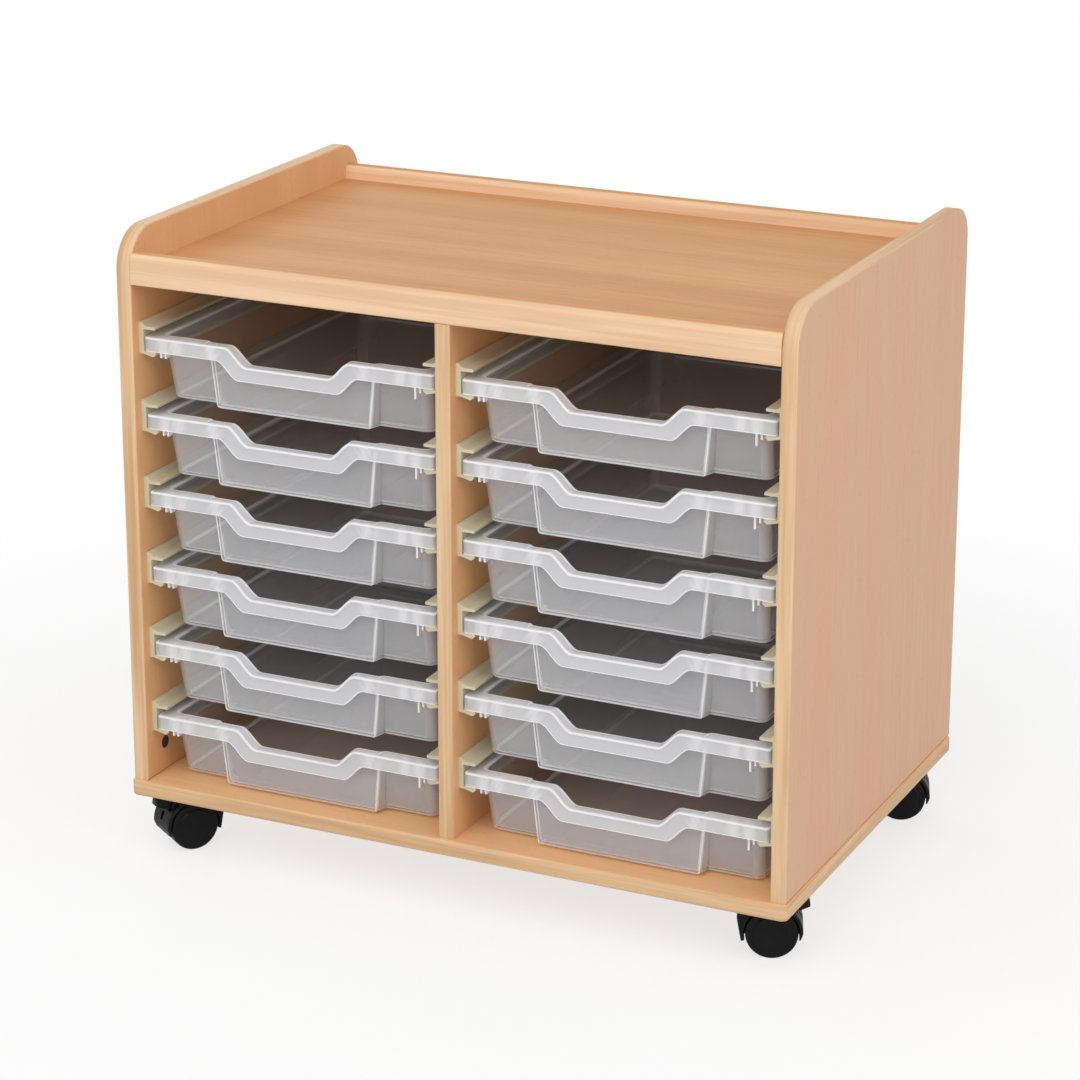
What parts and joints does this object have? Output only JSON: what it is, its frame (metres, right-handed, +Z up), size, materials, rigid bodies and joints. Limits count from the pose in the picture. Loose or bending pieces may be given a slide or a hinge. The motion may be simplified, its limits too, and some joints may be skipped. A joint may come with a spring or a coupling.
{
  "type": "mobile tray storage unit",
  "caption": "Low mobile classroom storage unit with a railed top, beech-faced boards, sliding translucent trays on plastic runners and twin-wheel castors, the front two braked.",
  "frame": {"origin": "on the floor under the centre of the base panel", "axes": "+X to the right seen from the front, +Y to the back, +Z up; the trays open towards -Y"},
  "size_m": [0.702, 0.464, 0.6375],
  "materials": {
    "beech_board": "satin",
    "beech_edge": "satin",
    "back_board": "matt",
    "frosted_tray": "frosted translucent",
    "runner_plastic": "satin",
    "castor_plastic": "satin",
    "wheel_plastic": "satin"
  },
  "bodies": {
    "carcass": {"base_panel": "beech_board", "left_side_panel": "beech_board", "right_side_panel": "beech_board", "centre_divider": "beech_board", "top_panel": "beech_board", "front_rail": "beech_edge", "back_rail": "beech_edge", "back_panel": "back_board", "runner_left_1_a": "runner_plastic", "runner_left_1_b": "runner_plastic", "runner_left_2_a": "runner_plastic", "runner_left_2_b": "runner_plastic", "runner_left_3_a": "runner_plastic", "runner_left_3_b": "runner_plastic", "runner_left_4_a": "runner_plastic", "runner_left_4_b": "runner_plastic", "runner_left_5_a": "runner_plastic", "runner_left_5_b": "runner_plastic", "runner_left_6_a": "runner_plastic", "runner_left_6_b": "runner_plastic", "runner_right_1_a": "runner_plastic", "runner_right_1_b": "runner_plastic", "runner_right_2_a": "runner_plastic", "runner_right_2_b": "runner_plastic", "runner_right_3_a": "runner_plastic", "runner_right_3_b": "runner_plastic", "runner_right_4_a": "runner_plastic", "runner_right_4_b": "runner_plastic", "runner_right_5_a": "runner_plastic", "runner_right_5_b": "runner_plastic", "runner_right_6_a": "runner_plastic", "runner_right_6_b": "runner_plastic"},
    "tray_left_1": {"tray_left_1": "frosted_tray"},
    "tray_left_2": {"tray_left_2": "frosted_tray"},
    "tray_left_3": {"tray_left_3": "frosted_tray"},
    "tray_left_4": {"tray_left_4": "frosted_tray"},
    "tray_left_5": {"tray_left_5": "frosted_tray"},
    "tray_left_6": {"tray_left_6": "frosted_tray"},
    "tray_right_1": {"tray_right_1": "frosted_tray"},
    "tray_right_2": {"tray_right_2": "frosted_tray"},
    "tray_right_3": {"tray_right_3": "frosted_tray"},
    "tray_right_4": {"tray_right_4": "frosted_tray"},
    "tray_right_5": {"tray_right_5": "frosted_tray"},
    "tray_right_6": {"tray_right_6": "frosted_tray"},
    "castor_front_left": {"castor_front_left_body": "castor_plastic"},
    "castor_front_left_pedal": {"castor_front_left_pedal": "castor_plastic"},
    "castor_front_left_wheel_a": {"castor_front_left_wheel_a": "wheel_plastic"},
    "castor_front_left_wheel_b": {"castor_front_left_wheel_b": "wheel_plastic"},
    "castor_front_right": {"castor_front_right_body": "castor_plastic"},
    "castor_front_right_pedal": {"castor_front_right_pedal": "castor_plastic"},
    "castor_front_right_wheel_a": {"castor_front_right_wheel_a": "wheel_plastic"},
    "castor_front_right_wheel_b": {"castor_front_right_wheel_b": "wheel_plastic"},
    "castor_back_left": {"castor_back_left_body": "castor_plastic"},
    "castor_back_left_wheel_a": {"castor_back_left_wheel_a": "wheel_plastic"},
    "castor_back_left_wheel_b": {"castor_back_left_wheel_b": "wheel_plastic"},
    "castor_back_right": {"castor_back_right_body": "castor_plastic"},
    "castor_back_right_wheel_a": {"castor_back_right_wheel_a": "wheel_plastic"},
    "castor_back_right_wheel_b": {"castor_back_right_wheel_b": "wheel_plastic"}
  },
  "joints": [
    {"name": "tray_left_1_slide", "type": "slide", "parent": "carcass", "child": "tray_left_1", "axis": [0, -1, 0], "range_m": [0, 0.3]},
    {"name": "tray_left_2_slide", "type": "slide", "parent": "carcass", "child": "tray_left_2", "axis": [0, -1, 0], "range_m": [0, 0.3]},
    {"name": "tray_left_3_slide", "type": "slide", "parent": "carcass", "child": "tray_left_3", "axis": [0, -1, 0], "range_m": [0, 0.3]},
    {"name": "tray_left_4_slide", "type": "slide", "parent": "carcass", "child": "tray_left_4", "axis": [0, -1, 0], "range_m": [0, 0.3]},
    {"name": "tray_left_5_slide", "type": "slide", "parent": "carcass", "child": "tray_left_5", "axis": [0, -1, 0], "range_m": [0, 0.3]},
    {"name": "tray_left_6_slide", "type": "slide", "parent": "carcass", "child": "tray_left_6", "axis": [0, -1, 0], "range_m": [0, 0.3]},
    {"name": "tray_right_1_slide", "type": "slide", "parent": "carcass", "child": "tray_right_1", "axis": [0, -1, 0], "range_m": [0, 0.3]},
    {"name": "tray_right_2_slide", "type": "slide", "parent": "carcass", "child": "tray_right_2", "axis": [0, -1, 0], "range_m": [0, 0.3]},
    {"name": "tray_right_3_slide", "type": "slide", "parent": "carcass", "child": "tray_right_3", "axis": [0, -1, 0], "range_m": [0, 0.3]},
    {"name": "tray_right_4_slide", "type": "slide", "parent": "carcass", "child": "tray_right_4", "axis": [0, -1, 0], "range_m": [0, 0.3]},
    {"name": "tray_right_5_slide", "type": "slide", "parent": "carcass", "child": "tray_right_5", "axis": [0, -1, 0], "range_m": [0, 0.3]},
    {"name": "tray_right_6_slide", "type": "slide", "parent": "carcass", "child": "tray_right_6", "axis": [0, -1, 0], "range_m": [0, 0.3]},
    {"name": "castor_front_left_swivel", "type": "hinge", "parent": "carcass", "child": "castor_front_left", "pos_m": [-0.298, -0.181, 0.0585], "axis": [0, 0, 1], "continuous": true},
    {"name": "castor_front_left_brake", "type": "hinge", "parent": "castor_front_left", "child": "castor_front_left_pedal", "pos_m": [-0.31892, -0.21087, 0.04864], "axis": [0.8192, -0.5736, 0], "range_deg": [0, 14]},
    {"name": "castor_front_left_wheel_a_spin", "type": "hinge", "parent": "castor_front_left", "child": "castor_front_left_wheel_a", "pos_m": [-0.30832, -0.19575, 0.025], "axis": [0.8192, -0.5736, 0], "continuous": true},
    {"name": "castor_front_left_wheel_b_spin", "type": "hinge", "parent": "castor_front_left", "child": "castor_front_left_wheel_b", "pos_m": [-0.30832, -0.19575, 0.025], "axis": [0.8192, -0.5736, 0], "continuous": true},
    {"name": "castor_front_right_swivel", "type": "hinge", "parent": "carcass", "child": "castor_front_right", "pos_m": [0.298, -0.181, 0.0585], "axis": [0, 0, 1], "continuous": true},
    {"name": "castor_front_right_brake", "type": "hinge", "parent": "castor_front_right", "child": "castor_front_right_pedal", "pos_m": [0.33181, -0.16734, 0.04864], "axis": [-0.3746, 0.9272, 0], "range_deg": [0, 14]},
    {"name": "castor_front_right_wheel_a_spin", "type": "hinge", "parent": "castor_front_right", "child": "castor_front_right_wheel_a", "pos_m": [0.31469, -0.17426, 0.025], "axis": [-0.3746, 0.9272, 0], "continuous": true},
    {"name": "castor_front_right_wheel_b_spin", "type": "hinge", "parent": "castor_front_right", "child": "castor_front_right_wheel_b", "pos_m": [0.31469, -0.17426, 0.025], "axis": [-0.3746, 0.9272, 0], "continuous": true},
    {"name": "castor_back_left_swivel", "type": "hinge", "parent": "carcass", "child": "castor_back_left", "pos_m": [-0.298, 0.177, 0.0585], "axis": [0, 0, 1], "continuous": true},
    {"name": "castor_back_left_wheel_a_spin", "type": "hinge", "parent": "castor_back_left", "child": "castor_back_left_wheel_a", "pos_m": [-0.31491, 0.17084, 0.025], "axis": [0.342, -0.9397, 0], "continuous": true},
    {"name": "castor_back_left_wheel_b_spin", "type": "hinge", "parent": "castor_back_left", "child": "castor_back_left_wheel_b", "pos_m": [-0.31491, 0.17084, 0.025], "axis": [0.342, -0.9397, 0], "continuous": true},
    {"name": "castor_back_right_swivel", "type": "hinge", "parent": "carcass", "child": "castor_back_right", "pos_m": [0.298, 0.177, 0.0585], "axis": [0, 0, 1], "continuous": true},
    {"name": "castor_back_right_wheel_a_spin", "type": "hinge", "parent": "castor_back_right", "child": "castor_back_right_wheel_a", "pos_m": [0.31491, 0.18316, 0.025], "axis": [-0.342, 0.9397, 0], "continuous": true},
    {"name": "castor_back_right_wheel_b_spin", "type": "hinge", "parent": "castor_back_right", "child": "castor_back_right_wheel_b", "pos_m": [0.31491, 0.18316, 0.025], "axis": [-0.342, 0.9397, 0], "continuous": true}
  ]
}
